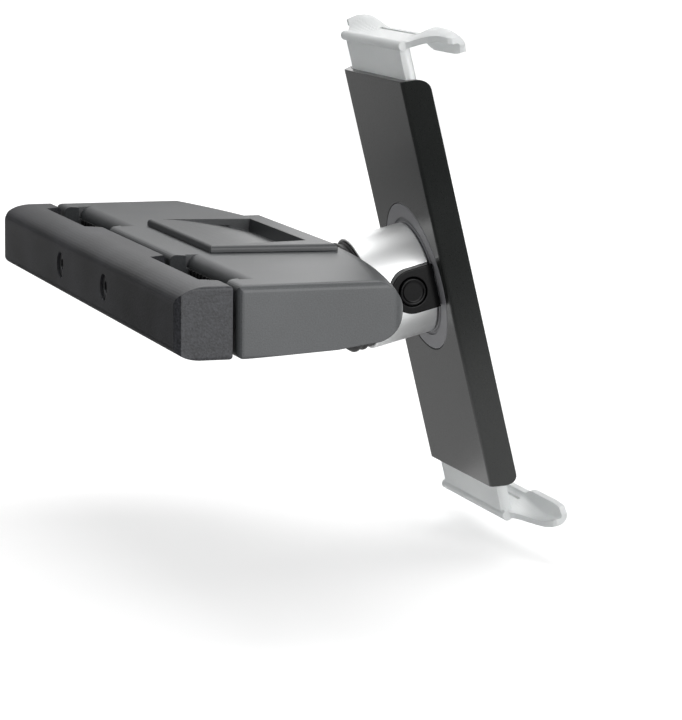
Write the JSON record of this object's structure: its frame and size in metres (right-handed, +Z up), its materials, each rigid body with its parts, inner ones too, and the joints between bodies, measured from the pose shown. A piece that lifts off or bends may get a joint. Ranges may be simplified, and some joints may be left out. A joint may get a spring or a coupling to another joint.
{
  "type": "headrest tablet mount",
  "caption": "Clamp for car headrest posts with a tilting arm and a turning holder whose geared claws grip a tablet by its long edges.",
  "frame": {"origin": "midway between the two headrest posts, in the plane of their axes, at half the height of the clamp", "axes": "+X from the headrest towards the passenger behind it, +Y along the clamp, +Z up along the posts"},
  "size_m": [0.1641, 0.243, 0.1781],
  "materials": {
    "bar_plastic": "fine moulded grain",
    "body_plastic": "fine satin grain",
    "catch_plastic": "fine satin grain",
    "channel_plastic": "smooth satin",
    "black_nylon": "moulded",
    "gloss_black": "polished",
    "coupler_plastic": "satin",
    "frosted_plastic": "frosted, translucent",
    "gear_acetal": "moulded",
    "pad_rubber": "ribbed",
    "sleeve_aluminium": "satin anodised",
    "dark_steel": "black oxide",
    "plated_steel": "zinc plated",
    "spring_steel": "drawn wire",
    "washer_brass": "turned"
  },
  "bodies": {
    "clamp_body": {"body_housing": "body_plastic", "body_pad_near": "pad_rubber", "body_pad_far": "pad_rubber", "clamp_nut_near": "plated_steel", "clamp_nut_far": "plated_steel", "base_plate": "bar_plastic", "base_screws": "plated_steel", "catch_spring_near": "spring_steel", "catch_spring_far": "spring_steel", "hinge_pin": "plated_steel", "hinge_nut": "plated_steel", "friction_washer_near": "washer_brass", "friction_washer_far": "washer_brass"},
    "outer_jaw": {"jaw_bar": "bar_plastic", "jaw_pad_near": "pad_rubber", "jaw_pad_far": "pad_rubber"},
    "screw_near": {"clamp_screw_near": "dark_steel"},
    "screw_far": {"clamp_screw_far": "dark_steel"},
    "catch": {"pull_catch": "catch_plastic"},
    "arm": {"hinge_knuckle": "black_nylon", "arm_core": "black_nylon", "arm_sleeve": "sleeve_aluminium", "button_housing": "gloss_black", "latch_spring": "spring_steel"},
    "button": {"release_button": "gloss_black"},
    "latch": {"latch_plate": "plated_steel"},
    "holder": {"coupler_disc": "coupler_plastic", "holder_channel": "channel_plastic", "front_cover": "bar_plastic", "cover_screws": "plated_steel"},
    "pinion": {"claw_pinion": "gear_acetal"},
    "claw_up": {"upper_claw": "frosted_plastic"},
    "claw_down": {"lower_claw": "frosted_plastic"}
  },
  "joints": [
    {"name": "screw_near_turn", "type": "hinge", "parent": "outer_jaw", "child": "screw_near", "pos_m": [-0.018, -0.031, 0], "axis": [-1, 0, 0], "range_deg": [-480, 3640]},
    {"name": "jaw_slide", "type": "slide", "parent": "clamp_body", "child": "outer_jaw", "axis": [-1, 0, 0], "range_m": [-0.001, 0.008]},
    {"name": "screw_far_turn", "type": "hinge", "parent": "outer_jaw", "child": "screw_far", "pos_m": [-0.018, 0.031, 0], "axis": [-1, 0, 0], "range_deg": [-480, 3640]},
    {"name": "catch_slide", "type": "slide", "parent": "clamp_body", "child": "catch", "axis": [1, 0, 0], "range_m": [0, 0.004], "stiffness_N_per_m": 400, "springref_m": -0.002, "deforming": ["catch_spring_near", "catch_spring_far"]},
    {"name": "arm_tilt", "type": "hinge", "parent": "clamp_body", "child": "arm", "pos_m": [0.0631, 0, -0.0146], "axis": [0, -1, 0], "range_deg": [-20, 12]},
    {"name": "button_press", "type": "slide", "parent": "arm", "child": "button", "axis": [0, 1, 0], "range_m": [0, 0.002], "stiffness_N_per_m": 300, "springref_m": -0.002, "deforming": ["latch_spring"]},
    {"name": "latch_slide", "type": "slide", "parent": "arm", "child": "latch", "axis": [0, 1, 0], "range_m": [0, 0.002]},
    {"name": "holder_turn", "type": "hinge", "parent": "arm", "child": "holder", "pos_m": [0.1054, 0, -0.00405], "axis": [0.9703, 0, 0.2419], "continuous": true},
    {"name": "upper_claw_slide", "type": "slide", "parent": "holder", "child": "claw_up", "axis": [-0.2419, 0, 0.9703], "range_m": [-0.01, 0.014]},
    {"name": "lower_claw_slide", "type": "slide", "parent": "holder", "child": "claw_down", "axis": [0.2419, 0, -0.9703], "range_m": [-0.01, 0.014]},
    {"name": "pinion_turn", "type": "hinge", "parent": "holder", "child": "pinion", "pos_m": [0.11064, 0, -0.00275], "axis": [0.9703, 0, 0.2419], "range_deg": [-64.5, 90]}
  ],
  "couplings": [
    {"joint": "screw_near_turn", "follows": "jaw_slide", "rad_per_m": 7854},
    {"joint": "screw_far_turn", "follows": "jaw_slide", "rad_per_m": 7854},
    {"joint": "latch_slide", "follows": "button_press", "ratio": 1},
    {"joint": "lower_claw_slide", "follows": "upper_claw_slide", "ratio": 1},
    {"joint": "pinion_turn", "follows": "upper_claw_slide", "rad_per_m": 111.11}
  ]
}
